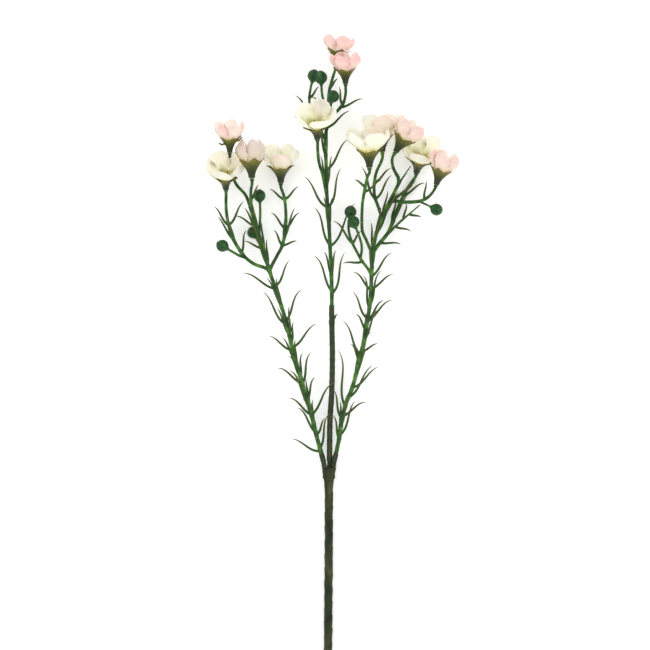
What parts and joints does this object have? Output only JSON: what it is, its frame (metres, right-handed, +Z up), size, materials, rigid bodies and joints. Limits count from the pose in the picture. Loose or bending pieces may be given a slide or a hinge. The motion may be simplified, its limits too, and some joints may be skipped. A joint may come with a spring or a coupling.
{
  "type": "artificial waxflower stem",
  "caption": "Artificial waxflower stem: a taped stalk that forks into needle-leaved green sprays with round buds and small cupped pink and cream flowers.",
  "frame": {"origin": "centre of the stem's box on the surface it lies on", "axes": "+Y runs along the stem from its cut end to its top flowers, +Z points up from the surface it lies on, +X to the right seen from above"},
  "size_m": [0.2023, 0.4991, 0.0657],
  "materials": {
    "floral_tape": "waxed crepe floral tape, brown green, matte",
    "spray_plastic": "moulded polyethylene, deep green with browner needle tips, satin",
    "calyx_plastic": "moulded polyethylene, olive rim to dark green base, satin",
    "petal_pink": "sized polyester petal fabric, blush pink, matte",
    "petal_pale_pink": "sized polyester petal fabric, pale pink to cream, matte",
    "petal_cream": "sized polyester petal fabric, cream with a yellow throat, matte",
    "centre_plastic": "flocked plastic centre, soft yellow"
  },
  "bodies": {
    "root": {"taped_stalk": "floral_tape", "left_spray": "spray_plastic", "centre_spray": "spray_plastic", "right_spray": "spray_plastic", "calyx_left_1": "calyx_plastic", "petals_left_1": "petal_pink", "centre_left_1": "centre_plastic", "calyx_left_2": "calyx_plastic", "petals_left_2": "petal_cream", "centre_left_2": "centre_plastic", "calyx_left_3": "calyx_plastic", "petals_left_3": "petal_pale_pink", "centre_left_3": "centre_plastic", "calyx_left_4": "calyx_plastic", "petals_left_4": "petal_cream", "centre_left_4": "centre_plastic", "calyx_centre_1": "calyx_plastic", "petals_centre_1": "petal_pink", "centre_centre_1": "centre_plastic", "calyx_centre_2": "calyx_plastic", "petals_centre_2": "petal_pink", "centre_centre_2": "centre_plastic", "calyx_centre_3": "calyx_plastic", "petals_centre_3": "petal_cream", "centre_centre_3": "centre_plastic", "calyx_right_1": "calyx_plastic", "petals_right_1": "petal_cream", "centre_right_1": "centre_plastic", "calyx_right_2": "calyx_plastic", "petals_right_2": "petal_cream", "centre_right_2": "centre_plastic", "calyx_right_3": "calyx_plastic", "petals_right_3": "petal_pink", "centre_right_3": "centre_plastic", "calyx_right_4": "calyx_plastic", "petals_right_4": "petal_cream", "centre_right_4": "centre_plastic", "calyx_right_5": "calyx_plastic", "petals_right_5": "petal_pink", "centre_right_5": "centre_plastic"}
  },
  "joints": []
}
